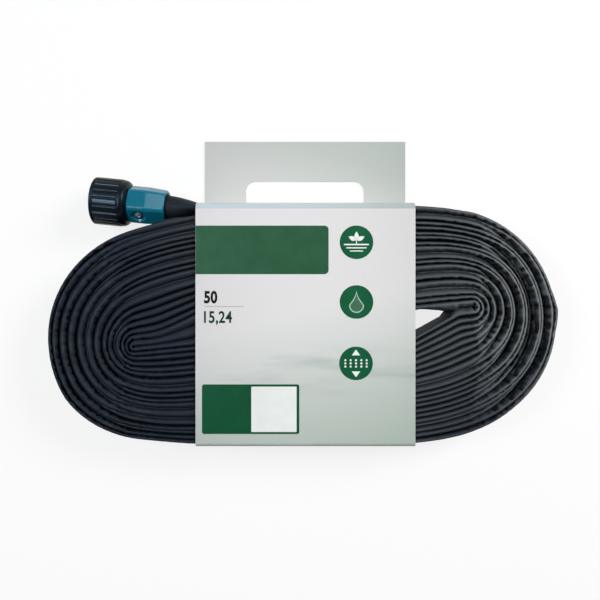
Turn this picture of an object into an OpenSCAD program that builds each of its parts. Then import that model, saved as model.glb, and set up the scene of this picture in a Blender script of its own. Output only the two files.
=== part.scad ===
/* [Hose] */
// Flat width of the hose, which is the depth of the roll
hose_w = 36; // [30:0.5:40]
// Thickness of the flat hose
hose_t = 2.2; // [1.8:0.1:2.3]
// Whole turns in the roll
turns = 20; // [8:1:20]
// Radius of the hose where it is gathered round at its ends
hose_end_r = 9.4; // [8:0.1:9.4]

/* [Roll] */
// Distance from the left fold to the right fold of the core
core_l = 257; // [250:1:260]
// Height of the right fold over the left fold
core_rise = 29; // [20:1:34]
// Radius of the tightest fold
fold_r = 1.5; // [1.4:0.1:2]
// How far the core opens beside each fold, round the outlet
core_open = 24; // [22:0.5:25]
// How far the core opens at its middle
core_mid_open = 18; // [17:0.5:19]
// Height of the flat top over the middle of the back face
roll_top = 88.2; // [87:0.1:88.3]
// Depth of the flat underside below the middle of the back face
roll_bottom = 90; // [88:0.1:90.2]

/* [Sleeve] */
// Width of the card sleeve
sleeve_w = 165; // [120:1:180]
// Thickness of the card
card_t = 0.6; // [0.4:0.1:0.7]
// Space between the hose and the card in front and behind
card_gap = 0.6; // [0.5:0.1:1]
// Height of the sleeve's top over the middle of the back face
sleeve_top = 93; // [92.6:0.1:96]
// Depth of the sleeve's underside
sleeve_bottom = 91.2; // [91:0.1:94]
// Width of the handle
handle_w = 163.4; // [110:0.2:165]
// Height of the handle's top edge
handle_top = 148; // [135:1:160]
// Width of the hand hole
hand_hole_w = 96; // [80:1:110]
// Height of the hand hole's top edge
hand_hole_top = 115.6; // [110:0.2:122]

/* [Couplings] */
// Radius of the plain bore at the pitch line of the 3/4 in hose thread
thread_r = 12.9; // [12.7:0.05:13]
// Outer radius of the swivel nut over its ribs
nut_r = 18.2; // [17.5:0.1:19]
// Length of the swivel nut
nut_l = 27; // [24:0.5:29]
// Grip ribs round the nut and the cap
ribs = 20; // [12:1:24]
// Length of a collar
collar_l = 28.5; // [27:0.5:30]
// Radius of a collar across its corners
collar_r = 15.2; // [14.6:0.1:15.6]
// Tilt of the inlet, its nut upward
inlet_tilt = 5.5; // [3:0.5:8]

/* [Hidden] */
$fn = 64;

hose_black = [0.12, 0.13, 0.15];
nut_black = [0.07, 0.07, 0.08];
teal = [0.14, 0.44, 0.53];
card_grey = [0.82, 0.84, 0.83];
rubber_black = [0.16, 0.16, 0.16];
steel_grey = [0.75, 0.76, 0.78];

// Depth: the back of the sleeve lies at z = 0
roll_back = card_t + card_gap;
mid_z = roll_back + hose_w / 2;
sleeve_d = 2 * roll_back + hose_w;

// Where the two couplings' hose mouths are
inlet_mouth = [-108, 91.6, mid_z];
outlet_mouth = [-46, 0.5, mid_z];

/* The roll is one strip wound inward, clockwise, on a family of curves. Each curve of the family
   has the same stations: along the top, round the right fold, back underneath and round the left
   fold. Its level goes from 1, the outside, to 0, the core. */
roll_mid = [-1, -1];
left_fold = roll_mid - [core_l, core_rise] / 2;
right_fold = roll_mid + [core_l, core_rise] / 2;
top_stations = [0, 0.08, 0.3, 0.5, 0.75];
under_stations = [0, 0.045, 0.25, 0.5, 0.75];
side_open = [0, 0, core_open, core_mid_open, 0];
side_steps = len(side_open);
end_steps = 7;
half_steps = side_steps + end_steps;
loop_steps = 2 * half_steps;
first_step = 2;
last_step = loop_steps * turns + 1;

// Outer radius about a fold: least toward its free side, more beside it, most across the roll
fold_least_angle = 25;
right_least = 58.5;
right_near = 70.8;
right_far = 92.6;
left_least = 64.5;
left_near = 70.3;
left_far = 90.9;
shoulder = 0.3;

function end_radius(a, least, near, far) =
    a > fold_least_angle
    ? least + (near - least) * pow((a - fold_least_angle) / (90 - fold_least_angle), 2)
    : least + (far - least) * pow((fold_least_angle - a) / (90 + fold_least_angle), 2);

function shoulder_drop(s) = s < shoulder ? pow(1 - s / shoulder, 2) : 0;

// A side of the family, s from 0 at the fold that it leaves to 1 at the fold that it reaches
function side_point(from, to, up, opening, level, height, from_r, to_r, s) =
    let (
        line = from + (to - from) * s,
        core_y = line.y + up * (fold_r + opening),
        drop_a = height - (up * from.y + from_r),
        drop_b = height - (up * to.y + to_r),
        outer_y = up * (height - drop_a * shoulder_drop(s) - drop_b * shoulder_drop(1 - s))
    )
    [line.x, core_y + (outer_y - core_y) * level];

// The arc round a fold, its angle a from 90 where it starts to -90 where it ends
function end_point(centre, side, level, least, near, far, a) =
    let (r = fold_r + (end_radius(a, least, near, far) - fold_r) * level)
    centre + side * r * [cos(a), sin(a)];

function roll_point(i) =
    let (
        k = i % loop_steps,
        j = k % half_steps,
        level = 1 - (i - first_step) / (last_step - first_step),
        a = 90 - 180 * (j - side_steps) / end_steps,
        on_side = j < side_steps
    )
    k < half_steps
    ? (on_side
        ? side_point(left_fold, right_fold, 1, side_open[j], level, roll_top,
            left_far, right_near, top_stations[j])
        : end_point(right_fold, 1, level, right_least, right_near, right_far, a))
    : (on_side
        ? side_point(right_fold, left_fold, -1, side_open[j], level, roll_bottom,
            right_far, left_near, under_stations[j])
        : end_point(left_fold, -1, level, left_least, left_near, left_far, a));

// Free ends: each row holds x, y and how round the hose is there, from 0 flat to 1 round
inlet_dir = [cos(inlet_tilt), -sin(inlet_tilt)];
end_in = 2;
inlet_straight = [for (d = [-end_in, 4, 11])
    concat([inlet_mouth.x, inlet_mouth.y] + d * inlet_dir, d < 11 ? 1 : 0.9)];
inlet_bend = [[-90, 89.3, 0.6], [-82, 87.9, 0.31], [-72, 88, 0.14], [-62, 88.1, 0.04]];
outlet_bend = [[-100, -9.6, 0], [-92, -7.5, 0.1], [-84, -5, 0.3], [-75, -2.2, 0.6], [-66, -0.2, 0.9]];
outlet_straight = [for (d = [13, 6, -end_in])
    [outlet_mouth.x - d, outlet_mouth.y, 1]];

inlet_path = concat(inlet_straight, inlet_bend);
outlet_path = concat(outlet_bend, outlet_straight);
roll_path = [for (i = [first_step : last_step]) concat(roll_point(i), 0)];
hose_path = concat(inlet_path, roll_path, outlet_path);
path_n = len(hose_path);
roll_first = len(inlet_path);
roll_last = roll_first + len(roll_path) - 1;

function xy(p) = [p.x, p.y];
function unit(v) = v / norm(v);

// Direction across the hose, to the left of its run
function across(i) =
    let (
        back = xy(hose_path[max(i - 1, 0)]),
        on = xy(hose_path[min(i + 1, path_n - 1)]),
        d = unit(on - back)
    )
    [-d.y, d.x];

// The flat hose has six corners; the free ends have the six and the middles of their sides
edge_bevel = 1.4;
flat_six = [
    [0, hose_w / 2], [-hose_t / 2, hose_w / 2 - edge_bevel], [-hose_t / 2, edge_bevel - hose_w / 2],
    [0, -hose_w / 2], [hose_t / 2, edge_bevel - hose_w / 2], [hose_t / 2, hose_w / 2 - edge_bevel]
];
flat_twelve = [for (k = [0 : 5]) for (m = [0, 0.5])
    flat_six[k] * (1 - m) + flat_six[(k + 1) % 6] * m];
round_twelve = [for (k = [0 : 11]) hose_end_r * [-sin(30 * k), cos(30 * k)]];

function ring_corners(i) =
    i >= roll_first && i <= roll_last
    ? flat_six
    : let (w = hose_path[i][2]) flat_twelve * (1 - w) + round_twelve * w;

function ring(i) =
    let (p = hose_path[i], n = across(i))
    [for (c = ring_corners(i)) [p.x + n.x * c.x, p.y + n.y * c.x, mid_z + c.y]];

function ring_start(i) =
    i <= roll_first ? 12 * i
    : i <= roll_last + 1 ? 12 * roll_first + 6 * (i - roll_first)
    : ring_start(roll_last + 1) + 12 * (i - roll_last - 1);

// Triangles between rings of equal size, and between a ring of six and a ring of twelve
function band(a, b, n) = [for (k = [0 : n - 1]) let (l = (k + 1) % n)
    each [[a + k, a + l, b + l], [a + k, b + l, b + k]]];
function band_6_12(a, b) = [for (k = [0 : 5]) let (l = (k + 1) % 6)
    each [[a + k, a + l, b + 2 * k + 1], [a + k, b + 2 * k + 1, b + 2 * k],
        [a + l, b + 2 * l, b + 2 * k + 1]]];
function turned(faces) = [for (f = faces) [f[0], f[2], f[1]]];
function joined(i) =
    let (a = ring_start(i), b = ring_start(i + 1))
    i == roll_first - 1 ? turned(band_6_12(b, a))
    : i == roll_last ? band_6_12(a, b)
    : band(a, b, i >= roll_first && i < roll_last ? 6 : 12);

module hose_roll() {
    points = [for (i = [0 : path_n - 1]) each ring(i)];
    last_ring = ring_start(path_n - 1);
    sides = [for (i = [0 : path_n - 2]) each joined(i)];
    first_cap = [for (k = [1 : 10]) [0, k + 1, k]];
    last_cap = [for (k = [1 : 10]) [last_ring, last_ring + k, last_ring + k + 1]];
    echo(hose_length_m = hose_length() / 1000, least_gap_mm = least_gap());
    color(hose_black)
        polyhedron(points, concat(turned(first_cap), turned(sides), turned(last_cap)));
}

function hose_length() =
    let (steps = [for (i = [0 : path_n - 2]) norm(xy(hose_path[i + 1]) - xy(hose_path[i]))])
    steps * [for (s = steps) 1];

// Least gap between the strip and itself, from each ring to every run that isn't beside it
function half_t(i) =
    let (w = hose_path[i][2]) (hose_t / 2) * (1 - w) + hose_end_r * w;
function to_run(p, a, b) =
    let (d = b - a, s = max(0, min(1, (p - a) * d / (d * d))))
    norm(p - a - s * d);
function least_gap() =
    min([for (i = [0 : path_n - 1], j = [i + 8 : path_n - 2])
        to_run(xy(hose_path[i]), xy(hose_path[j]), xy(hose_path[j + 1]))
            - half_t(i) - max(half_t(j), half_t(j + 1))]);

/* Couplings: each piece is drawn along +z from the hose mouth of its collar. */
module at_inlet() {
    translate(inlet_mouth) rotate([0, 0, 180 - inlet_tilt]) rotate([0, 90, 0]) children();
}

module at_outlet() {
    translate(outlet_mouth) rotate([0, 90, 0]) children();
}

module ring_piece(outer_r, inner_r, from, to) {
    translate([0, 0, from]) difference() {
        cylinder(r = outer_r, h = to - from);
        translate([0, 0, -1]) cylinder(r = inner_r, h = to - from + 2);
    }
}

barb_r = 7.4;
neck_r = 9.5;
water_r = 5.5;
barb_from = 4;
neck_from = 24;

module hose_end() {
    color(hose_black) ring_piece(neck_r, barb_r, end_in, neck_from);
}

// Barbed tail that the hose is pushed on, and the neck behind it
module barb_profile(neck_to) {
    teeth = 4;
    pitch = (neck_from - barb_from) / teeth;
    tooth_depth = 0.6;
    polygon(concat(
        [[water_r, barb_from]],
        [for (k = [0 : teeth - 1]) each [
            [barb_r - tooth_depth, barb_from + k * pitch],
            [barb_r, barb_from + (k + 0.7) * pitch],
            [barb_r, barb_from + (k + 0.8) * pitch],
            [barb_r - tooth_depth, barb_from + (k + 0.8) * pitch]]],
        [[barb_r - tooth_depth, neck_from], [neck_r, neck_from], [neck_r, neck_to],
            [water_r, neck_to]]
    ));
}

// Stations of the inlet along its axis
nut_from = collar_l + 0.4;
nut_to = nut_from + nut_l;
lip_to = nut_from + 5.1;
flange_from = lip_to + 0.4;
flange_to = flange_from + 3;
washer_from = flange_to + 0.4;
washer_to = washer_from + 3;
disc_r = 8;
disc_t = 1.8;
swivel_gap = 0.08;
washer_r = thread_r + 0.2;

module inlet_stem() {
    flange_r = 12.4;
    color(nut_black) at_inlet() rotate_extrude() {
        barb_profile(flange_from);
        polygon([[water_r, flange_from], [flange_r, flange_from], [flange_r, flange_to],
            [disc_r, flange_to], [disc_r, flange_to - disc_t], [water_r, flange_to - disc_t]]);
    }
}

module inlet_flow_disc() {
    orifice_r = 2;
    color("white") at_inlet() ring_piece(disc_r, orifice_r, flange_to - disc_t, flange_to);
}

module inlet_washer() {
    color(rubber_black) at_inlet() ring_piece(washer_r, 7.5, washer_from, washer_to);
}

rib_groove_w = 1.7;
rib_groove_d = 0.8;

// Grooves between the grip ribs
module rib_grooves(outer_r, from, to) {
    for (k = [0 : ribs - 1])
        rotate(360 * (k + 0.5) / ribs)
            translate([outer_r - rib_groove_d, -rib_groove_w / 2, from])
                cube([2 * rib_groove_d, rib_groove_w, to - from]);
}

module inlet_nut() {
    rim = 2.3;
    shoulder_to = nut_from + 5.8;
    shoulder_r0 = 15.2;
    shoulder_r1 = 17.5;
    shoulder_arc = [for (a = [0 : 15 : 90])
        [shoulder_r0 + (shoulder_r1 - shoulder_r0) * sin(a),
            nut_from + 0.6 + (shoulder_to - nut_from - 0.6) * (1 - cos(a))]];
    color(nut_black) at_inlet() difference() {
        rotate_extrude() polygon(concat(
            [[neck_r + swivel_gap, nut_from], [shoulder_r0 - 0.6, nut_from]],
            shoulder_arc,
            [[nut_r, shoulder_to], [nut_r, nut_to - rim - 0.5], [nut_r - rib_groove_d, nut_to - rim - 0.5],
                [nut_r - rib_groove_d, nut_to - rim], [nut_r, nut_to - rim], [nut_r, nut_to - 0.5],
                [nut_r - 0.5, nut_to], [thread_r + 1, nut_to], [thread_r, nut_to - 1],
                [thread_r, washer_to], [washer_r, washer_to], [washer_r, lip_to],
                [neck_r + swivel_gap, lip_to]]
        ));
        rib_grooves(nut_r, shoulder_to - 0.1, nut_to - rim - 0.5);
    }
}

/* Collar: a rounded six-sided clamp, straight beside the fitting and tapered toward the hose.
   A screw in an oval recess holds it. */
facet_turn = 38.5;
taper_l = 14.6;
taper_r = 13;
recess_turn = 128.5;
recess_z = 19.7;
recess_l = 11;
recess_w = 8;
recess_floor = 11.5;
screw_head_r = 2.7;
screw_head_t = 1.2;
screw_r = 1.5;

module at_recess() {
    rotate(recess_turn) translate([recess_floor, 0, recess_z]) rotate([0, 90, 0]) children();
}

// Six flats: parallel to the axis beside the fitting, leaning in toward the hose
module collar_flats() {
    flat_r = collar_r * cos(30);
    lean = atan((flat_r - taper_r * cos(30)) / taper_l);
    deep = 10;
    wide = 3 * collar_r;
    for (k = [0 : 5])
        rotate(facet_turn + 30 + 60 * k) translate([flat_r, -wide / 2, taper_l]) {
            cube([deep, wide, collar_l]);
            rotate([0, lean, 0]) translate([0, 0, -2 * taper_l]) cube([deep, wide, 2.2 * taper_l]);
        }
}

module collar() {
    flare_r = 10.7;
    flare_l = 5;
    round_r = collar_r - 0.6;
    color(teal) difference() {
        rotate_extrude() polygon([
            [neck_r, flare_l], [flare_r, 0], [taper_r - 1.4, 0], [taper_r - 0.9, 0.3],
            [taper_r - 0.5, 1.2], [taper_r - 0.4, 2.5], [round_r, taper_l + 0.6],
            [round_r, collar_l - 0.8], [round_r - 0.8, collar_l], [neck_r, collar_l]
        ]);
        collar_flats();
        at_recess() linear_extrude(6)
            polygon([for (a = [5 : 10 : 355]) [recess_l * cos(a), recess_w * sin(a)] / 2]);
        at_recess() translate([0, 0, -3]) cylinder(r = screw_r, h = 4);
    }
}

module collar_screw() {
    slot_w = 0.8;
    slot_l = 3.4;
    color(steel_grey) at_recess() difference() {
        rotate_extrude() polygon([
            [0, neck_r + 0.2 - recess_floor], [screw_r, neck_r + 0.2 - recess_floor], [screw_r, 0],
            [screw_head_r, 0], [screw_head_r, screw_head_t * 0.6],
            [screw_head_r * 0.7, screw_head_t], [0, screw_head_t]
        ]);
        for (turn = [0, 90])
            rotate(turn) translate([-slot_l / 2, -slot_w / 2, screw_head_t - 0.6])
                cube([slot_l, slot_w, 1]);
    }
}

module inlet_hose_end() { at_inlet() hose_end(); }
module inlet_collar() { at_inlet() collar(); }
module inlet_screw() { at_inlet() collar_screw(); }
module outlet_hose_end() { at_outlet() hose_end(); }
module outlet_collar() { at_outlet() collar(); }
module outlet_screw() { at_outlet() collar_screw(); }

// Stations of the outlet along its axis
thread_from = collar_l + 2.7;
thread_to = thread_from + 13.5;
cap_from = thread_from + 0.4;
cap_washer_from = thread_to + 0.2;
cap_washer_to = cap_washer_from + 2;
cap_inside = cap_washer_to + 0.3;
cap_to = cap_inside + 2.5;
male_r = thread_r - 0.1;

module outlet_stem() {
    flange_r = 14;
    color(nut_black) at_outlet() rotate_extrude() {
        barb_profile(collar_l);
        polygon([[water_r, collar_l], [flange_r, collar_l], [flange_r, thread_from],
            [male_r, thread_from], [male_r, thread_to - 1], [male_r - 1, thread_to],
            [water_r + 2, thread_to], [water_r + 2, collar_l + 3], [water_r, collar_l + 3]]);
    }
}

module cap_washer() {
    color(rubber_black) at_outlet() ring_piece(male_r - 0.2, 6.5, cap_washer_from, cap_washer_to);
}

module end_cap() {
    cap_r = 15.8;
    color(nut_black) at_outlet() difference() {
        rotate_extrude() polygon([
            [male_r + swivel_gap, cap_from], [cap_r - 0.4, cap_from], [cap_r, cap_from + 0.4],
            [cap_r, cap_to - 1.5], [cap_r - 1.5, cap_to], [0, cap_to], [0, cap_inside],
            [male_r + swivel_gap, cap_inside]
        ]);
        rib_grooves(cap_r, cap_from + 2, cap_to + 1);
    }
}

/* Sleeve: one strip of card round the roll. The outline runs from the back foot round the front. */
top_front_r = 6;
corner_r = 3;
top_back_r = 1.5;
arc_steps = 6;

// Rows hold y, z and the corner's outer radius
sleeve_corners = [
    [-sleeve_bottom, 0, corner_r], [-sleeve_bottom, sleeve_d, corner_r],
    [sleeve_top, sleeve_d, top_front_r], [sleeve_top, 0, top_back_r]
];
sleeve_mid = [(sleeve_top - sleeve_bottom) / 2, sleeve_d / 2];

function corner_arc(k, inset) =
    let (
        c = sleeve_corners[k],
        toward = [c[0] > sleeve_mid[0] ? -1 : 1, c[1] > sleeve_mid[1] ? -1 : 1],
        centre = [c[0], c[1]] + c[2] * toward,
        r = c[2] - inset
    )
    [for (m = [0 : arc_steps]) let (a = -90 * k + 270 - 90 * m / arc_steps)
        centre + r * [cos(a), sin(a)]];

module sleeve_outline(inset) {
    polygon([for (k = [0 : 3]) each corner_arc(k, inset)]);
}

// The outline is drawn with y and z as its axes and pushed along x
module sleeve_band() {
    color(card_grey) translate([-sleeve_w / 2, 0, 0]) rotate([90, 0, 90])
        linear_extrude(sleeve_w) difference() {
            sleeve_outline(0);
            sleeve_outline(card_t);
        }
}

// Handle: the two ends of the card glued together, creased where they leave the sleeve
crease_y = sleeve_top + 1.2;
hand_hole_bottom = 96.6;
hand_hole_r = 8;
hand_hole_foot_r = 1;

module handle() {
    color(card_grey) linear_extrude(2 * card_t) difference() {
        translate([-handle_w / 2, crease_y - 0.4]) square([handle_w, handle_top - crease_y + 0.4]);
        hand_hole();
    }
}

module hand_hole() {
    low = hand_hole_bottom + hand_hole_foot_r;
    high = hand_hole_top - hand_hole_r;
    for (side = [-1, 1]) {
        translate([side * (hand_hole_w / 2 - hand_hole_r), high]) circle(r = hand_hole_r);
        translate([side * (hand_hole_w / 2 - hand_hole_foot_r), low]) circle(r = hand_hole_foot_r);
    }
    translate([-hand_hole_w / 2, low]) square([hand_hole_w, high - low]);
    translate([hand_hole_r - hand_hole_w / 2, high])
        square([hand_hole_w - 2 * hand_hole_r, hand_hole_r]);
    translate([hand_hole_foot_r - hand_hole_w / 2, hand_hole_bottom])
        square([hand_hole_w - 2 * hand_hole_foot_r, hand_hole_foot_r]);
}

hose_roll();
inlet_hose_end();
inlet_stem();
inlet_flow_disc();
inlet_washer();
inlet_nut();
inlet_collar();
inlet_screw();
outlet_hose_end();
outlet_stem();
outlet_collar();
outlet_screw();
cap_washer();
end_cap();
sleeve_band();
handle();
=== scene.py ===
"""A flat fabric soaker hose: 20 turns rolled flat in a card sleeve with a handle, a swivel nut and
collar at its inlet, and a capped outlet inside the roll."""
import math
import bmesh
import bpy
import numpy as np
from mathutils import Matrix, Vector


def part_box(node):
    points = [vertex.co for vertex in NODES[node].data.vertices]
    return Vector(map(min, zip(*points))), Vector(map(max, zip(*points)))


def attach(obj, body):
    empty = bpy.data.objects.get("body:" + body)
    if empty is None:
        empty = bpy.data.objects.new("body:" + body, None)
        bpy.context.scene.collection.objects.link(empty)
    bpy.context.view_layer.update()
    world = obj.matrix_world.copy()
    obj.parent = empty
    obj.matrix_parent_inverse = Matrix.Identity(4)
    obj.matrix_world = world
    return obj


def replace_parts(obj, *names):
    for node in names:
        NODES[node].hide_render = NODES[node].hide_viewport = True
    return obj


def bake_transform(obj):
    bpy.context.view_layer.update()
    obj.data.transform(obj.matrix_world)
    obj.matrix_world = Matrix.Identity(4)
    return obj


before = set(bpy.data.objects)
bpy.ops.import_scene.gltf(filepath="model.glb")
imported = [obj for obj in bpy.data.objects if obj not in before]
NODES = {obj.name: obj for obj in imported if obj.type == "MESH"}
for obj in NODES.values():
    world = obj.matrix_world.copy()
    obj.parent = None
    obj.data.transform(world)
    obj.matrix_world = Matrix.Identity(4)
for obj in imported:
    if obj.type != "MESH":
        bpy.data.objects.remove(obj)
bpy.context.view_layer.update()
MM = 0.001
rng = np.random.default_rng(7)

# ---------------------------------------------------------------- camera
VIEW = (-4.1, 19.1, 468.4)  # where the camera stands, looking straight down
cam = bpy.data.objects.new("camera", bpy.data.cameras.new("camera"))
cam.data.lens = 34.4
cam.data.sensor_width = 36
cam.data.clip_start = 0.01
cam.location = Vector(VIEW) * MM
bpy.context.scene.collection.objects.link(cam)
bpy.context.scene.camera = cam
bpy.context.scene.view_settings.view_transform = "Standard"


# ---------------------------------------------------------------- materials
def srgb(r, g, b):
    """An 8-bit screen colour as a linear one."""
    def line(v):
        v /= 255
        return v / 12.92 if v <= 0.04045 else ((v + 0.055) / 1.055) ** 2.4
    return (line(r), line(g), line(b), 1)


class Mat:
    """A node material: nodes are added and linked by short calls."""
    def __init__(self, name, **settings):
        self.mat = bpy.data.materials.new(name)
        self.mat.use_nodes = True
        self.nt = self.mat.node_tree
        self.bsdf = self.nt.nodes["Principled BSDF"]
        self.set(**settings)

    def set(self, **settings):
        for k, v in settings.items():
            self.bsdf.inputs[k.replace("_", " ")].default_value = v

    def node(self, kind, links=(), **values):
        n = self.nt.nodes.new("ShaderNode" + kind)
        for k, v in values.items():
            if hasattr(n, k):
                setattr(n, k, v)
            else:
                n.inputs[k.replace("_", " ")].default_value = v
        for key, source in dict(links).items():
            self.nt.links.new(source, n.inputs[key])
        return n

    def coords(self, scale=(1, 1, 1), which="Object", turn=(0, 0, 0)):
        c = self.node("TexCoord")
        return self.node("Mapping", {"Vector": c.outputs[which]}, Scale=scale, Rotation=turn).outputs[0]

    def noise(self, vector, scale, detail=3.0, rough=0.5):
        return self.node("TexNoise", {"Vector": vector}, Scale=scale, Detail=detail,
                         Roughness=rough).outputs["Fac"]

    def ramp(self, fac, *stops):
        n = self.node("ValToRGB", {"Fac": fac})
        while len(n.color_ramp.elements) < len(stops):
            n.color_ramp.elements.new(0.5)
        for e, (pos, col) in zip(n.color_ramp.elements, stops):
            e.position = pos
            e.color = col if len(col) == 4 else (*col, 1)
        return n.outputs["Color"]

    def mix(self, fac, a, b, blend="MIX"):
        n = self.nt.nodes.new("ShaderNodeMix")
        n.data_type = "RGBA"
        n.blend_type = blend
        for i, v in ((0, fac), (6, a), (7, b)):
            if isinstance(v, (int, float, tuple)):
                n.inputs[i].default_value = v
            else:
                self.nt.links.new(v, n.inputs[i])
        return n.outputs[2]

    def math(self, op, a, b=0.0, clamp=False):
        n = self.nt.nodes.new("ShaderNodeMath")
        n.operation = op
        n.use_clamp = clamp
        for i, v in enumerate((a, b)):
            if isinstance(v, (int, float)):
                n.inputs[i].default_value = v
            else:
                self.nt.links.new(v, n.inputs[i])
        return n.outputs[0]

    def bump(self, height, strength, distance=0.0002, normal=None):
        links = {"Height": height}
        if normal is not None:
            links["Normal"] = normal
        return self.node("Bump", links, Strength=strength, Distance=distance).outputs[0]

    def link(self, source, socket):
        self.nt.links.new(source, self.bsdf.inputs[socket])


def grey(v):
    return (v, v, v, 1)


def hose_fabric():
    """Woven jacket with painted light and shade: shaded navy at the left and below, lit slate at the upper
    right, a painted highlight on folded edges and painted shade between the turns.
    """
    m = Mat("hose_fabric", Roughness=0.6, Sheen_Weight=0.02, Sheen_Roughness=0.4)
    m.set(Sheen_Tint=srgb(170, 195, 215), Specular_IOR_Level=0.08)
    uv = m.coords(which="UV")
    place = m.coords()
    cloud = m.noise(place, 22, 2)
    axes = m.node("SeparateXYZ", {0: place}).outputs
    # Painted light and shade: shaded navy at the left, turning to lit slate toward the right and top
    across = m.math("ADD", m.math("MULTIPLY", axes["X"], 3.6), 0.36)
    across = m.math("ADD", across, m.math("MULTIPLY", axes["Y"], 2.0))
    # Painted shade: back toward navy at the lower right
    low = m.math("MULTIPLY", m.math("MAXIMUM", m.math("SUBTRACT", axes["X"], 0.08), 0.0),
                 m.math("MAXIMUM", m.math("SUBTRACT", -0.01, axes["Y"]), 0.0))
    across = m.math("SUBTRACT", across, m.math("MULTIPLY", low, 130.0), clamp=True)
    shaded_navy = m.ramp(cloud, (0.3, srgb(12, 20, 30)), (0.72, srgb(20, 29, 40)))
    lit_slate = m.ramp(cloud, (0.3, srgb(41, 45, 49)), (0.72, srgb(54, 58, 62)))
    tone = m.mix(across, shaded_navy, lit_slate)
    # Painted shade: where the shade attribute is low, the depths between the turns darken toward these deep
    # tones
    depth = m.node("Attribute", attribute_name="shade").outputs["Fac"]
    deep = m.mix(across, srgb(8, 11, 18), srgb(14, 18, 29))
    tone = m.mix(m.ramp(depth, (0.05, grey(1)), (0.5, grey(0))), tone, deep)
    # Painted highlight: where the shade attribute is high, the folded edges turn lighter, pale grey at the
    # right
    crest_highlight = m.mix(across, srgb(42, 50, 60), srgb(132, 136, 136))
    tone = m.mix(m.ramp(depth, (0.6, grey(0)), (0.98, grey(0.8))), tone, crest_highlight)
    # Warp threads run along the hose and weft threads across it
    threads = [m.node("TexWave", {"Vector": uv}, bands_direction=way, Scale=scale, Distortion=0.6)
               for way, scale in (("Y", 360.0), ("X", 250.0))]
    weave = m.math("MULTIPLY", *(t.outputs["Fac"] for t in threads))
    shade = m.mix(m.math("MULTIPLY", weave, 0.18), tone, srgb(56, 60, 66))
    m.link(shade, "Base Color")
    crinkle = m.noise(m.coords((1, 3.2, 1), which="UV"), 210, 3, 0.6)
    n = m.bump(crinkle, 0.5, 0.0005)
    m.link(m.bump(weave, 0.35, 0.0002, n), "Normal")
    m.link(m.ramp(cloud, (0.2, grey(0.5)), (0.8, grey(0.68))), "Roughness")
    return m.mat


# ---------------------------------------------------------------- meshes
def add_mesh(name, verts, faces, mat, body, smooth=True, uvs=None, shade=None):
    """A new piece from points in mm; uvs holds one pair per vertex and shade one number."""
    mesh = bpy.data.meshes.new(name)
    points = [tuple(v) for v in np.asarray(verts, float) * MM]
    mesh.from_pydata(points, [], [tuple(int(i) for i in f) for f in faces])
    mesh.materials.append(mat)
    if shade is not None:
        values = mesh.attributes.new("shade", "FLOAT", "POINT").data
        values.foreach_set("value", np.asarray(shade, np.float32))
    mesh.polygons.foreach_set("use_smooth", np.full(len(mesh.polygons), smooth))
    if uvs is not None:
        loops = np.zeros(len(mesh.loops), np.int32)
        mesh.loops.foreach_get("vertex_index", loops)
        layer = mesh.uv_layers.new(name="UVMap")
        layer.data.foreach_set("uv", np.asarray(uvs, float)[loops].ravel())
    mesh.update()
    obj = bpy.data.objects.new(name, mesh)
    bpy.context.scene.collection.objects.link(obj)
    if body:
        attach(obj, body)
    return obj


def grid_faces(rows, cols, around=False):
    """Quads of a grid of rows x cols vertices; around closes each row on itself."""
    n = cols if around else cols - 1
    r = np.arange(rows - 1)[:, None] * cols
    a = np.arange(n)[None, :]
    b = (a + 1) % cols
    return np.stack([r + a, r + b, r + cols + b, r + cols + a], -1).reshape(-1, 4)


# ---------------------------------------------------------------- hose
HOSE_W, HOSE_T, TURNS = 36.0, 2.2, 20
HALF_W = HOSE_W / 2
END_R = 9.4  # of the ends, gathered round
MID_Z = 19.2
FOLD_R = 1.5  # of the innermost fold
ROLL_TOP, ROLL_BOTTOM = 88.2, 90.0
LEFT = np.array([-129.5, -15.5])  # centres of the two ends
RIGHT = np.array([127.5, 13.5])
RIGHT_R = (58.5, 70.8, 92.6)  # least, where the hose comes in, where it goes out
LEFT_R = (64.5, 70.3, 90.9)
TOP_STATIONS = [0, 0.08, 0.3, 0.5, 0.75, 1]
UNDER_STATIONS = [0, 0.045, 0.25, 0.5, 0.75, 1]
CORE_OPENING = [0, 0, 24, 18, 0, 0]  # how far the core stands open at those stations
# A loop has 24 stations: the top to 5, the right end to 12, the underside to 17 and the left end to 24
FIRST, SIDE, HALF, LOOP = 2, 5, 12, 24
LAST = LOOP * TURNS + 1
CORE_TOP, CORE_UNDER = (LAST - LOOP - 0.5, 461), (468, 473)
RIGHT_MIDDLE, LEFT_MIDDLE = 8.5, 20.5
LEAST_GAP, MOST_GAP, OPEN_GAP = 2.3, 6.5, 3.0  # between turns, and on the open faces
OPEN_HALF = 1.35  # how far the lips reach on the open faces
SMOOTHINGS = 140
STEP_IN_BENDS, STEP_ON_SIDES, STEP_HIDDEN = 0.85, 2.0, 6.0
HIDDEN_TO = 74  # the sleeve hides the hose from here to the middle
TILT = math.radians(5.5)
INLET = np.array([-108, 91.6])  # the fitting's mouth, where the hose goes in


def level_at(station):
    """1 at the roll's outermost turn, down to 0 at its core."""
    return 1 - (station - FIRST) / (LAST - FIRST)


def run_along(xy):
    """The length along a line up to each of its points."""
    return np.r_[0, np.cumsum(np.hypot(*np.diff(xy, axis=0).T))]


def end_radius(a, least, near, far):
    """An end's outer radius at angle a in degrees: least at 25, near at 90 and far at -90."""
    return np.where(a > 25, least + (near - least) * ((a - 25) / 65) ** 2,
                    least + (far - least) * ((25 - a) / 115) ** 2)


def eased(x, xs, ys):
    """Values at xs with level ease-in and ease-out between them."""
    k = np.clip(np.searchsorted(xs, x, "right") - 1, 0, len(xs) - 2)
    t = (x - np.take(xs, k)) / (np.take(xs, k + 1) - np.take(xs, k))
    t = np.clip(t, 0, 1)
    t = t * t * (3 - 2 * t)
    return np.take(ys, k) * (1 - t) + np.take(ys, k + 1) * t


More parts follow.
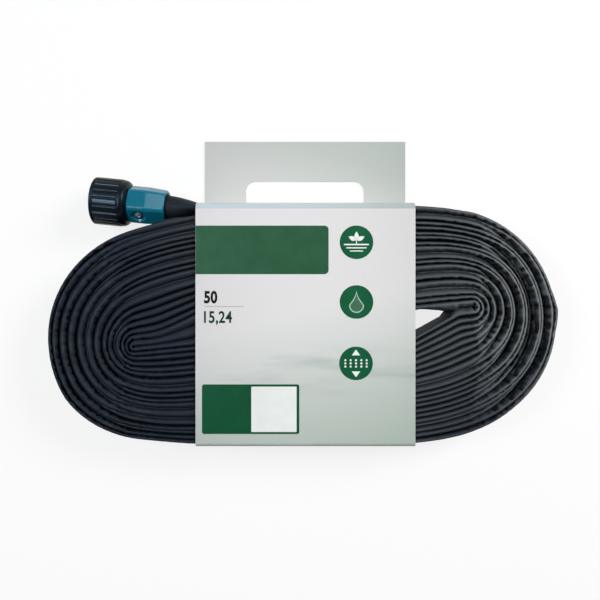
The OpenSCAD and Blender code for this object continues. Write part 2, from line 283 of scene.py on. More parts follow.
def roll_points(i):
    """Middle of the strip at stations i: the top, the right end, the underside and the left end."""
    k = i % LOOP
    j = k % HALF
    level = level_at(i)
    a = 90 - 180 * (j - SIDE) / (HALF - SIDE)
    top = k < HALF
    out = np.zeros((len(i), 2))
    for up, mask in ((1, top), (-1, ~top)):
        stations = TOP_STATIONS if up == 1 else UNDER_STATIONS
        s = np.interp(j, [0, 1, 2, 3, 4, 5], stations)
        start, end = (LEFT, RIGHT) if up == 1 else (RIGHT, LEFT)
        start_r = (LEFT_R if up == 1 else RIGHT_R)[2]
        end_rs = RIGHT_R if up == 1 else LEFT_R
        height = ROLL_TOP if up == 1 else ROLL_BOTTOM
        line = start + (end - start) * s[:, None]
        opening = np.interp(s, stations, CORE_OPENING)
        core_y = line[:, 1] + up * (FOLD_R + opening)
        drop_a = height - (up * start[1] + start_r)
        drop_b = height - (up * end[1] + end_rs[1])
        fall = lambda t: np.where(t < 0.3, (1 - t / 0.3) ** 2, 0)
        outer = up * (height - drop_a * fall(s) - drop_b * fall(1 - s))
        side = np.stack([line[:, 0], core_y + (outer - core_y) * level], 1)
        r = FOLD_R + (end_radius(a, *end_rs) - FOLD_R) * level
        rad = np.radians(a)
        curve = end + up * r[:, None] * np.stack([np.cos(rad), np.sin(rad)], 1)
        both = np.where((j < SIDE)[:, None], side, curve)
        out[mask] = both[mask]
    return out


# Stretches of each loop that sweep in one smooth arch between the two stations
SWEEPS = [(-2.4, 2.0), (3.7, 6.6), (10.2, 14.0), (15.6, 18.6)]


def sweep(i, points):
    """The roll with its middle turns rounded where a straight side meets an end."""
    out = points.copy()
    for turn in range(TURNS + 1):
        for a, b in SWEEPS:
            m = np.flatnonzero((i >= LOOP * turn + a) & (i <= LOOP * turn + b))
            if len(m) < 10 or m[0] < 3 or m[-1] > len(i) - 4 or i[m[0]] - (LOOP * turn + a) > 0.1:
                continue
            q = points[m]
            share = eased(level_at(i[m].mean()), [0.0, 0.02, 0.5, 0.78, 0.98, 1.1], [0, 0, 1, 1, 0, 0])
            run = run_along(q)
            u = (run / run[-1])[:, None]
            chord = np.hypot(*(q[-1] - q[0]))
            t0, t1 = points[m[0]] - points[m[0] - 3], points[m[-1] + 3] - points[m[-1]]
            t0, t1 = chord * t0 / np.hypot(*t0), chord * t1 / np.hypot(*t1)
            arch = ((2 * u ** 3 - 3 * u ** 2 + 1) * q[0] + (u ** 3 - 2 * u ** 2 + u) * t0
                    + (3 * u ** 2 - 2 * u ** 3) * q[-1] + (u ** 3 - u ** 2) * t1)
            out[m] = q + share * (arch - q)
    return out


def dense(p):
    """Rows of numbers, their x and y first, filled in at even steps of about 1 mm."""
    run = run_along(p[:, :2])
    at = np.linspace(0, run[-1], int(run[-1]))
    return np.stack([np.interp(at, run, c) for c in p.T], 1)


def hose_route():
    """Each ring's place along the hose, and its x, y, roundness and roll station."""
    way = np.array([math.cos(TILT), -math.sin(TILT)])
    inlet = [[*(INLET + d * way), w, -1] for d, w in ((-2, 1), (4, 1), (11, 0.9))]
    inlet += [[-90, 90.3, 0.68, -1], [-84.6, 89.8, 0.51, -1], [-83, 89.6, 0.46, -1],
              [-80.8, 88.5, 0.26, -1], [-72, 88, 0.14, -1], [-62, 88.1, 0.04, -1]]
    outlet = [[-100, -9.6, 0], [-92, -7.5, 0], [-84, -5, 0.02], [-76, -2.4, 0.2], [-66, -0.2, 0.85],
              [-59, 0.5, 1], [-52, 0.5, 1], [-44, 0.5, 1]]
    i = np.arange(FIRST, LAST, 0.02)
    roll = np.column_stack([sweep(i, roll_points(i)), np.zeros(len(i)), i])
    p = dense(np.vstack([inlet, roll, [[*o, LAST + 1] for o in outlet]]))
    # Corners are rounded off, less and less toward the tight folds of the core
    level = level_at(p[:, 3])
    free = (p[:, 3] <= FIRST) | (p[:, 3] >= LAST)
    sigma = np.where(free, 4.5, np.clip(0.16 * (FOLD_R + 60 * level), 0.5, 5.5))
    sigma[(p[:, 3] < 0) & (p[:, 0] > -92)] = 1.2
    knee = np.clip(1.5 - np.abs(p[:, 0] + 98) / 18, 0, 1) * (p[:, 3] % LOOP < 4) * ~free
    under = np.clip(1.5 - np.abs(p[:, 0] - 112) / 16, 0, 1) * (np.abs(p[:, 3] % LOOP - 13) < 2.5) * ~free
    sigma = np.maximum(sigma, np.maximum(8.5 * knee, 6 * under * np.sqrt(level.clip(0, 1))))
    ease = np.clip(sigma ** 2 / SMOOTHINGS, 0, 0.5)[:, None]
    for _ in range(SMOOTHINGS):
        p[3:-3, :3] += (ease[3:-3] * (p[2:-4, :3] + p[4:-2, :3] - 2 * p[3:-3, :3])) / 2
    run = run_along(p[:, :2])
    # Rings lie close where the hose bends and far apart behind the sleeve
    bend = (p[:, 3] % HALF > SIDE - 0.3) & ~free
    step = np.where(bend, STEP_IN_BENDS, STEP_ON_SIDES)
    step = np.where(np.abs(p[:, 0]) < HIDDEN_TO, STEP_HIDDEN, step)
    count = np.r_[0, np.cumsum(np.diff(run) / step[1:])]
    rings = int(count[-1])
    at = np.interp(np.arange(0, rings + 1) * count[-1] / rings, count, run)
    return at, np.stack([np.interp(at, run, c) for c in p.T], 1)


# How far the outer turns stand out beside the sleeve and at the lower left, by place of the loop
BULGE = [(3.0, 0), (4.0, 2.0), (4.4, 2.3), (4.65, 2.0), (4.85, 1.0), (5.2, 0.2), (6.0, 0), (11.2, 0),
         (11.9, 0.9), (12.3, 1.5), (13.0, 2.1), (13.25, 2.1), (13.6, 1.5), (14.2, 1.0), (15.0, 0),
         (15.8, 0.6), (16.35, 1.3), (16.8, 0.8), (17.6, 0.7), (18.3, 1.3), (19.0, 2.0), (19.7, 0.8),
         (20.4, 0)]

# Turns whose front edge sinks between its neighbours', with the depth in mm, at places of the loop
TOP_LEFT = {2: 3.0, 4: 2.5, 9: 3.0, 13: 3.0}
TOP_RIGHT = {1: 3.5, 9: 3.0, 13: 3.0, 16: 3.0}
RIGHT_END = {2: 9.0, 5: 8.5, 6: 9.5, 9: 8.5, 12: 7.5, 14: 6.5, 16: 4.5}
BOTTOM_RIGHT = {3: 2.0, 11: 2.0}
BOTTOM_LEFT = {5: 3.0, 7: 3.0, 12: 2.0}
LEFT_END = {2: 4.5, 4: 4.0, 6: 4.5, 8: 3.0, 10: 4.5, 12: 4.0, 15: 2.0}
SUNK = {0.6: TOP_LEFT, 4.6: TOP_RIGHT, 6.9: RIGHT_END, 10.3: RIGHT_END, 12.6: BOTTOM_RIGHT,
        16.4: BOTTOM_LEFT, 19.0: LEFT_END, 22.3: LEFT_END}
# How far a turn's front edge leans outward at the right end
LEAN = {0: 0.7, 1: 1.2, 3: 0.2, 4: 1.4, 7: 0.4, 8: 1.2, 10: -0.4, 11: 0.9, 13: 0.6, 15: 0.5, 17: 0.9}
LEANS = {k: (LEAN if k in (6.9, 10.3) else {}) for k in SUNK}


def along_strip(station, base, spread, table=None):
    """A smooth value along the strip: base, a random part and the table's value at each place."""
    at, val = [], []
    for turn in range(-1, TURNS + 1):
        for k in sorted(SUNK):
            at.append(LOOP * turn + k)
            val.append(base + spread * rng.uniform(-1, 1) + (table[k].get(turn, 0) if table else 0))
    return eased(station, np.array(at), np.array(val))


def wander(at, step, lo, hi):
    """A smooth random value along the length."""
    knots = np.arange(0, at[-1] + 2 * step, step)
    return eased(at, knots, rng.uniform(lo, hi, len(knots)))


def section():
    """The flat hose's outline as rows: side (+1 outward), height in mm or angle, and which edge."""
    lip = [math.radians(a) for a in (90, 60, 30, 0, -30, -60, -90)]
    sign = lambda a: 0 if abs(a) < 1e-6 else math.copysign(1, a)
    rows = [(1, "neck", 1)] + [(sign(a), a, 1) for a in lip] + [(-1, "neck", 1)]
    rows += [(-1, z, 0) for z in (11.5, 8.5, 5, 0, -9)]
    rows += [(-1, "neck", -1)] + [(sign(a), a, -1) for a in lip[::-1]] + [(1, "neck", -1)]
    return rows + [(1, z, 0) for z in (-9, 0, 5, 8.5, 11.5)]


def core_gaps(xy, st):
    """Where the innermost runs lie on each other: which face, which rings, the gap and how closed it is."""
    x, y = xy.T
    runs = {"top": (st >= CORE_TOP[0]) & (st <= CORE_TOP[1]),
            "under": (st >= CORE_UNDER[0]) & (st <= CORE_UNDER[1]), "outlet": st >= LAST - 1}

    def level(name, at):
        m = runs[name]
        order = np.argsort(x[m])
        return np.interp(at, x[m][order], y[m][order])

    left = lambda v: np.clip((-72 - v) / 8, 0, 1)
    right = lambda v: np.clip((v - 110) / 6, 0, 1)
    pairs = (("in", "top", "outlet", left), ("out", "outlet", "top", left), ("in", "outlet", "under", left),
             ("in", "under", "outlet", left), ("in", "top", "under", right), ("in", "under", "top", right))
    for face, here, there, where in pairs:
        m = runs[here].copy()
        share = where(x[m])
        yield face, m, np.abs(y[m] - level(there, x[m])) + 0.1, share


class Strip:
    """The rolled strip, ring by ring: where it lies, how far its faces and lips reach, and its puckers."""
    def __init__(self):
        self.at, p = hose_route()
        self.xy, self.gathered, self.st = p[:, :2], p[:, 2], p[:, 3]
        d = np.gradient(self.xy, axis=0)
        d /= np.linalg.norm(d, axis=1)[:, None]
        self.out = np.stack([-d[:, 1], d[:, 0]], 1)  # away from the core, for a strip wound clockwise
        self.place = self.st % LOOP
        self.free = (self.st < FIRST + 0.01) | (self.st > LAST - 0.01)
        self.last = self.st > LAST - LOOP
        self.first = self.st < FIRST + LOOP
        self.right = self.hump(RIGHT_MIDDLE, 2.6, 1.2)
        self.left = np.maximum(self.hump(LEFT_MIDDLE, 2.9, 1.4), self.hump(LEFT_MIDDLE - LOOP, 2.9, 1.4))
        self.bend = np.maximum(self.hump(RIGHT_MIDDLE, 3.4, 1.0), self.left)
        self.rows = section()
        self.set_edges()
        self.set_reach()
        self.set_puckers()

    def hump(self, middle, flat, fade):
        """1 up to flat stations from a place of the loop, and down to 0 over fade more."""
        return np.clip((flat + fade - np.abs(self.place - middle)) / fade, 0, 1) * ~self.free

    def spacing(self, step):
        """Distance, within limits, to the turn that is step stations further on."""
        other = [np.interp(self.st + step, self.st, c) for c in self.xy.T]
        dx, dy = self.xy[:, 0] - other[0], self.xy[:, 1] - other[1]
        return np.clip(np.abs(dx * self.out[:, 0] + dy * self.out[:, 1]), LEAST_GAP, MOST_GAP)

    def hidden(self, step):
        """How far out of sight the turn that is step stations further on has sunk, from 0 to 1."""
        return np.clip((np.interp(self.st + step, self.st, self.sunk) - 1.2) / 1.5, 0, 1)

    def set_edges(self):
        """How deep the front edge lies, and how far the strip is moved outward."""
        self.sunk = np.clip(along_strip(self.st, 0.35, 0.35, SUNK), 0, 10)
        self.sunk[self.free] = 0.3
        self.shift = along_strip(self.st, 0, 0.25)
        self.shift[self.free] = 0
        # At the right end the two outermost turns have a sharp corner
        for turn, high in ((0, 2.0), (1, 1.0)):
            corner = np.interp(LOOP * turn + 8.6, self.st, self.at)
            self.shift += high * np.clip(1 - np.abs(self.at - corner) / 16, 0, 1)
        outermost = np.clip(level_at(self.st), 0, 1) ** 4 * ~self.free
        self.shift += np.interp(self.place, *zip(*BULGE)) * outermost

    def set_reach(self):
        """How far lips (half) and faces (mid) reach each way, how edges lean and how deep the back is."""
        x, y = self.xy.T
        inner, outer = self.spacing(LOOP), self.spacing(-LOOP)
        inner[self.last | self.free] = OPEN_GAP
        outer[self.first | self.free] = OPEN_GAP
        beside = lambda step: (np.interp(self.st + step, self.st, self.shift) - self.shift) / 2
        full = 0.425 + 0.02 * wander(self.at, 7, -1, 1)
        narrow = 1 - 0.02 * self.right
        half_out = outer * (full + 0.44 * self.hidden(-LOOP) * (1 - self.right)) * narrow
        half_in = inner * (full + 0.44 * self.hidden(LOOP) * (1 - self.right)) * narrow
        half_in = np.where(self.last, OPEN_HALF, half_in)
        beside_fitting = np.clip(1.6 - np.abs(x + 104) / 8, 0, 1) * (y > 0)
        half_out = np.where(self.first, OPEN_HALF + 1.3 * beside_fitting, half_out)
        mid_out = np.where(self.first | self.free, HOSE_T / 2, outer * 0.5 + 0.06 + beside(-LOOP))
        mid_in = np.where(self.last | self.free, HOSE_T / 2, inner * 0.5 + 0.06 - beside(LOOP))
        for face, rings, gap, share in core_gaps(self.xy, self.st):
            for reach in {"out": (half_out, mid_out), "in": (half_in, mid_in)}[face]:
                reach[rings] = reach[rings] * (1 - share) + np.maximum(1.3, gap / 2) * share
        # The innermost run at the top is thicker toward the point of the core's opening
        thick = np.interp(x, [50, 80, 93, 112, 116], [0, 0.5, 0.9, 4.4, 0])
        thick *= (self.st > CORE_TOP[0]) & (self.st <= CORE_TOP[1])
        self.inner = inner
        self.half_out, self.mid_out = half_out, mid_out
        self.half_in, self.mid_in = half_in + thick, mid_in + thick
        self.lean = along_strip(self.st, 0, 0.3, LEANS)
        self.lean[self.free] = 0
        self.back = np.clip(along_strip(self.st, 0.5, 0.5), 0, 1.5)

    def set_puckers(self):
        """Sharp creases across the inner face of each bend, uneven in spacing and depth."""
        at = self.at
        self.beat = np.cumsum(np.r_[0, np.diff(at)] / wander(at, 9, 3.8, 9))
        self.slant = wander(at, 30, -0.7, 0.7)
        self.vigour = wander(at, 14, 0.1, 1.0) * (0.3 + 0.7 * self.bend)
        self.swell = wander(at, 8, -1, 1)
        self.lump = wander(at, 5, -1, 1)
        self.tooth = wander(at, 2.6, 0, 1) ** 2
        self.ragged = self.hump(8.3, 3.2, 1.6) + self.left

    def notch(self, slanted=0.0, power=2.0):
        """1 at each crease, and down to 0 halfway between two."""
        return (1 - np.abs(np.sin(np.pi * (self.beat + self.slant * slanted)))) ** power

    def outline(self):
        """Each ring's outline: how far outward and how high its points lie, and their places round it."""
        right, ragged, tooth = self.right, self.ragged, self.tooth
        outward, upward = np.zeros((2, len(self.at), len(self.rows)))
        cover = right * self.hidden(LOOP)
        teeth = ragged * (0.33 + 0.4 * cover) * tooth
        for c, (side, what, end) in enumerate(self.rows):
            top = HALF_W - (self.sunk if end >= 0 else self.back)
            lip_h = np.clip(0.6 * (self.half_out + self.half_in) / 2 + 0.35, 1.1, 2.4)
            wide = self.half_out if side > 0 else self.half_in
            if side < 0 and end >= 0:
                lip_h = lip_h + right * (3.6 + 1.2 * self.lump)
                wide = wide + (right * 0.16 + cover * 0.34 - teeth) * self.inner
            body = self.mid_out if side > 0 else self.mid_in
            notch = self.notch((1 - what / HALF_W) if end == 0 else 0.0, 1.6)
            amp = self.vigour * (1.0 if side < 0 else 0.2)
            if what == "neck":
                outward[:, c] = side * (np.minimum(body, wide * 0.8) - 0.9 * notch * amp)
                upward[:, c] = end * (top - lip_h - 1.8)
            elif end == 0:
                amp = amp * min(1, max(0, what) / 8)
                outward[:, c] = side * (body - (0.9 + 1.1 * right) * notch * amp)
                outward[:, c] += 0.3 * self.swell * self.bend * (what > 0)
                below_lip = top - lip_h - 2.2 - 0.35 * (HALF_W - what)
                upward[:, c] = np.minimum(what, below_lip) if what > 4 else what
            else:
                torn = 0.9 * (1 + (side < 0) * 0.8 * ragged)
                outward[:, c] = wide * math.sin(what) - side * torn * notch * amp * abs(math.sin(what)) ** 3
                upward[:, c] = end * (top - lip_h + lip_h * math.cos(what) - 0.6 * notch * amp)
            reach = np.clip(upward[:, c] / HALF_W, -1, 1)
            outward[:, c] += self.shift + self.lean * np.sign(reach) * np.abs(reach) ** 1.5
        return self.gather(outward, upward)

    def gather(self, outward, upward):
        """The outline with its free ends gathered round, in pleats."""
        w = self.gathered[:, None]
        ref_u, ref_v = outward.mean(0), upward.mean(0)
        gaps = np.hypot(np.diff(np.r_[ref_u, ref_u[0]]), np.diff(np.r_[ref_v, ref_v[0]]))
        around = np.r_[0, np.cumsum(gaps)[:-1]]
        turn = 2 * np.pi * (around - around[4]) / gaps.sum()
        pleat = 1 + 0.028 * np.cos(turn * 9)[None, :] * (w * (1 - w) * 4)
        outward = outward * (1 - w) - END_R * np.sin(turn) * w * pleat
        upward = upward * (1 - w) + END_R * np.cos(turn) * w * pleat
        return outward, upward, around

    def shade(self):
        """Painted light and shade at each point: a painted highlight on folded edges, painted shade in the
        depths between the turns and in creases, and painted light on the inner faces at the right end.
        """
        right, lump = self.right, self.lump
        out = np.zeros((len(self.at), len(self.rows)))
        crease = self.notch() * self.vigour
        # Painted light on the inner lips at the right end, less in creases and teeth
        rough = 0.66 + 0.25 * lump - 0.6 * crease - 0.45 * self.tooth
        # Painted shade in the creases and teeth of the inner lips, away from the right end
        wear_and_crease_shade = (1 - right) * self.ragged * (0.3 * self.tooth + 0.4 * crease)
        for c, (side, what, end) in enumerate(self.rows):
            if end and what != "neck":
                # Painted highlight: lips lighter toward their folded crest
                out[:, c] = 0.3 + (0.5 + 0.2 * right + 0.2 * lump * self.left) * math.cos(what) ** 2.5
                if side < 0 and end > 0:
                    inward = math.sin(-what) ** 0.5
                    out[:, c] += right * (rough - out[:, c]) * inward
                    out[:, c] -= wear_and_crease_shade * inward
            else:
                # At the right end the inner faces get painted light
                deep = 1.0 if end else {11.5: 0.85, 8.5: 0.6, 5: 0.3}.get(what, 0)
                lit = right * deep * (0.85 + 0.4 * lump - 0.6 * crease)
                out[:, c] = 0.1 + lit * (side < 0) * (end >= 0)
            open_side, least = (self.first | (self.st < FIRST), 0.55) if side > 0 else (self.last, 0.3)
            out[:, c] = np.where(open_side & (side != 0), np.maximum(out[:, c], least), out[:, c])
        w = self.gathered[:, None]
        return out * (1 - w) + 0.55 * w


def hose_mesh():
    """The hose's points, faces, uv places and painted light and shade."""
    strip = Strip()
    outward, upward, around = strip.outline()
    n, m = outward.shape
    x, y = (strip.xy[:, [a]] + strip.out[:, [a]] * outward for a in (0, 1))
    verts = np.stack([x, y, MID_Z + upward], -1)
    uv = np.stack([np.repeat(strip.at, m), np.tile(around, n)], -1) * MM
    ends = [list(range(m))[::-1], list(range((n - 1) * m, n * m))]
    faces = [*grid_faces(n, m, around=True).tolist(), *ends]
    return verts.reshape(-1, 3), faces, uv, strip.shade().ravel()


verts, faces, uv, shade = hose_mesh()
hose = add_mesh("hose", verts, faces, hose_fabric(), "roll", uvs=uv, shade=shade)
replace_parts(hose, "hose_roll")


# ---------------------------------------------------------------- fitting
def plastic(name, colour, light, rough, grain=0.12, gloss=0.5, tint=(1, 1, 1)):
    m = Mat(name, Specular_IOR_Level=gloss, Specular_Tint=(*tint, 1))
    place = m.coords()
    cloud = m.noise(place, 60, 3)
    m.link(m.ramp(cloud, (0.3, colour), (0.75, light)), "Base Color")
    fine = m.ramp(m.noise(place, 900, 2), (0.3, grey(rough - 0.02)), (0.7, grey(rough + 0.03)))
    m.link(fine, "Roughness")
    if grain:
        m.link(m.bump(m.noise(place, 1800, 2), grain, 0.0001), "Normal")
    return m.mat


def rubber(name, tone):
    m = Mat(name, Roughness=0.8)
    place = m.coords()
    wear_and_crease_shade = srgb(tone + 12, tone + 12, tone + 13)
    m.link(m.ramp(m.noise(place, 300, 4), (0.3, srgb(tone, tone, tone)), (0.8, wear_and_crease_shade)), "Base Color")
    m.link(m.bump(m.noise(place, 2500, 2), 0.3, 0.0001), "Normal")
    return m.mat


def steel(name):
    m = Mat(name, Metallic=1.0, Base_Color=srgb(140, 143, 147))
    brushed = m.noise(m.coords((1, 12, 1)), 900, 2)
    m.link(m.ramp(brushed, (0.2, grey(0.22)), (0.8, grey(0.42))), "Roughness")
    m.link(m.bump(brushed, 0.15, 0.00005), "Normal")
    return m.mat


def on_inlet(r, angle, along):
    """Points about the inlet's axis, from its hose mouth, in mm."""
    u, v = r * np.cos(angle), r * np.sin(angle)
    c, t = math.cos(TILT), math.sin(TILT)
    return np.stack([INLET[0] - t * v - c * along, INLET[1] - c * v + t * along, MID_Z - u], -1)


def turned(name, rows, cols, radius, mat, body):
    """A closed ring piece: rows of (along, radius, tag), and radius(theta, along, r, tag) for its surface."""
    along, base, tag = (np.array([q[a] for q in rows])[:, None] for a in range(3))
    theta = (np.arange(cols) * 2 * np.pi / cols)[None, :]
    r = radius(theta, along, base, tag)
    pts = on_inlet(r, theta + 0 * along, along + 0 * theta)
    faces = grid_faces(len(rows), cols, around=True).tolist()
    end = (len(rows) - 1) * cols
    faces += [[end + i, end + (i + 1) % cols, (i + 1) % cols, i] for i in range(cols)]
    return add_mesh(name, pts.reshape(-1, 3), faces, mat, body)


NUT_FROM, NUT_TO, NUT_R, RIBS = 28.9, 55.9, 18.2, 20
NECK_R, SHOULDER_R = 9.58, 15.1  # where the stem goes in, and where the shoulder starts
PITCH = 25.4 / 11.5
THREAD_R, RELIEF_R, THREAD_TO, SEAT = 12.9, 13.1, 41.4, 34.0
COLLAR_LEN, COLLAR_BORE_R = 28.5, 9.5
FLATS, FLATS_TURN, CORNER_R, MOUTH_R = 6, 68.5, 15.2, 12.0
RECESS_TURN, RECESS_AT, RECESS_LONG, RECESS_WIDE, RECESS_FLOOR = 128.5, 19.7, 5.5, 4, 11.55
PLAIN, RIBBED, THREADED = 0, 1, 2  # tags of the nut's rows; a part of 1 is the end of a rib


def nut():
    """The swivel nut, from its neck over the ribbed outside to the mouth and back in over the thread."""
    rib_from, rib_to = NUT_FROM + 5.6, NUT_TO - 2.6
    rows = [(NUT_FROM + 5.1, NECK_R, PLAIN), (NUT_FROM, NECK_R, PLAIN), (NUT_FROM, 12, PLAIN),
            (NUT_FROM, 14.3, PLAIN), (NUT_FROM + 0.15, 14.8, PLAIN)]
    for a in np.radians([8, 20, 32, 44, 56, 68, 80, 90]):
        rows.append((NUT_FROM + 0.7 + 4.3 * (1 - math.cos(a)),
                     SHOULDER_R + (NUT_R - 0.35 - SHOULDER_R) * math.sin(a), PLAIN))
    rows += [(rib_from - 0.3, NUT_R - 0.32, PLAIN), (rib_from, NUT_R - 0.25, 0.25),
             (rib_from + 0.35, NUT_R, RIBBED)]
    rows += [(z, NUT_R, RIBBED) for z in np.linspace(rib_from + 1, rib_to - 1, 12)]
    rows += [(rib_to - 0.35, NUT_R, RIBBED), (rib_to, NUT_R - 0.2, 0.5), (rib_to + 0.2, NUT_R - 0.55, PLAIN),
             (rib_to + 0.5, NUT_R - 0.3, PLAIN), (rib_to + 0.8, NUT_R, PLAIN), (NUT_TO - 0.9, NUT_R, PLAIN),
             (NUT_TO - 0.45, NUT_R - 0.12, PLAIN), (NUT_TO - 0.13, NUT_R - 0.45, PLAIN),
             (NUT_TO, NUT_R - 0.95, PLAIN), (NUT_TO, 15.6, PLAIN), (NUT_TO, 14.3, PLAIN),
             (NUT_TO - 0.25, 13.9, PLAIN)]
    rows += [(z, THREAD_R, THREADED) for z in np.arange(NUT_TO - 1.2, THREAD_TO, -0.27)]
    rows += [(THREAD_TO - 0.3, 12.95, PLAIN), (THREAD_TO - 0.6, RELIEF_R, PLAIN), (37.8, RELIEF_R, PLAIN),
             (SEAT + 0.4, RELIEF_R, PLAIN), (SEAT, RELIEF_R, PLAIN), (SEAT, 11, PLAIN)]

    def radius(theta, along, r, tag):
        f = (theta / (2 * np.pi) * RIBS) % 1
        edge = np.abs(f - 0.5) * 2
        groove = 1 / (1 + np.exp(-(edge - 0.8) / 0.045))
        crown = 0.05 * (edge / 0.8) ** 2
        share = np.where(tag == THREADED, 0, tag)
        ribbed = r - share * (0.85 * groove + crown * (1 - groove))
        turn = (along / PITCH - theta / (2 * np.pi)) % 1
        tooth = np.clip(2.6 * (np.abs(turn - 0.5) * 2 - 0.5), -1, 1) * 0.5
        return np.where(tag == THREADED, r + tooth, ribbed)
    mat = plastic("black_plastic", srgb(3, 6, 10), srgb(7, 11, 16), 0.34, 0.0, 0.17, (0.55, 0.78, 1))
    return turned("nut", rows, RIBS * 18, radius, mat, "nut")


def collar():
    """The clamp collar: six flats with rounded corners, which lean in past a crease, and an oval recess."""
    rows = [(5, COLLAR_BORE_R, 0), (2.5, 10.1, 0), (0.5, 10.8, 0), (0.08, 11.4, 0)]
    outer = [0, 0.1, 0.3, 0.6, 0.9, 1.3, 1.9, 2.6] + list(np.arange(3.2, 13.4, 0.5))
    outer += list(np.arange(13.6, 26.2, 0.3)) + [26.6, 27.1, 27.5, 27.8, 28.05, 28.25, 28.4, COLLAR_LEN]
    rows += [(z, 1, 1) for z in outer]
    rows += [(COLLAR_LEN, 12.5, 0), (COLLAR_LEN, 11, 0), (COLLAR_LEN, COLLAR_BORE_R, 0),
             (20, COLLAR_BORE_R, 0), (12, COLLAR_BORE_R, 0)]
    each = 2 * math.pi / FLATS
    flat_r = CORNER_R * math.cos(each / 2)

    def radius(theta, along, r, tag):
        round_r = np.interp(along, [0, 0.3, 0.9, 1.8, 3, 15.2, 27.4, 28.1, COLLAR_LEN],
                            [MOUTH_R, 12.6, 13.1, 13.4, 13.6, 14.6, 14.6, 14.3, 13.7])
        # The flats lean in toward the mouth from a crease across each
        flat = np.interp(along, [0, 14.6], [MOUTH_R, flat_r])
        off = (theta - math.radians(FLATS_TURN) + each / 2) % each - each / 2
        loft = flat / np.cos(off)
        soft = 0.03
        body = -soft * np.log(np.exp(-round_r / soft) + np.exp(-loft / soft))
        d = (theta - math.radians(RECESS_TURN) + np.pi) % (2 * np.pi) - np.pi
        across = np.where(np.abs(d) < 1, 11.5 * np.tan(np.clip(d, -1, 1)), 99)
        oval = np.sqrt(((along - RECESS_AT) / RECESS_LONG) ** 2 + (across / RECESS_WIDE) ** 2)
        inside = 1 / (1 + np.exp(np.minimum((oval - 1) / 0.028, 50)))
        floor = RECESS_FLOOR / np.cos(np.clip(d, -1, 1))
        body = body * (1 - inside) + np.minimum(body, floor) * inside
        return np.where(tag == 1, body, r + 0 * theta)
    mat = plastic("teal_plastic", srgb(4, 98, 121), srgb(10, 106, 131), 0.19, 0.0, 0.2)
    return turned("collar", rows, 420, radius, mat, "roll")


black = plastic("fitting_black", srgb(18, 20, 24), srgb(26, 29, 33), 0.35)
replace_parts(nut(), "inlet_nut")
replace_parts(collar(), "inlet_collar")
teal = bpy.data.materials["teal_plastic"]
washer = rubber("washer_rubber", 28)
finishes = {
    "inlet_stem": black, "outlet_stem": black, "end_cap": black,
    "outlet_collar": teal, "inlet_washer": washer, "cap_washer": washer,
    "inlet_flow_disc": plastic("white_plastic", srgb(214, 214, 208), srgb(226, 226, 221), 0.45),
    "inlet_screw": steel("screw_steel"), "inlet_hose_end": rubber("liner_rubber", 24),
}
finishes["outlet_screw"] = finishes["inlet_screw"]
finishes["outlet_hose_end"] = finishes["inlet_hose_end"]


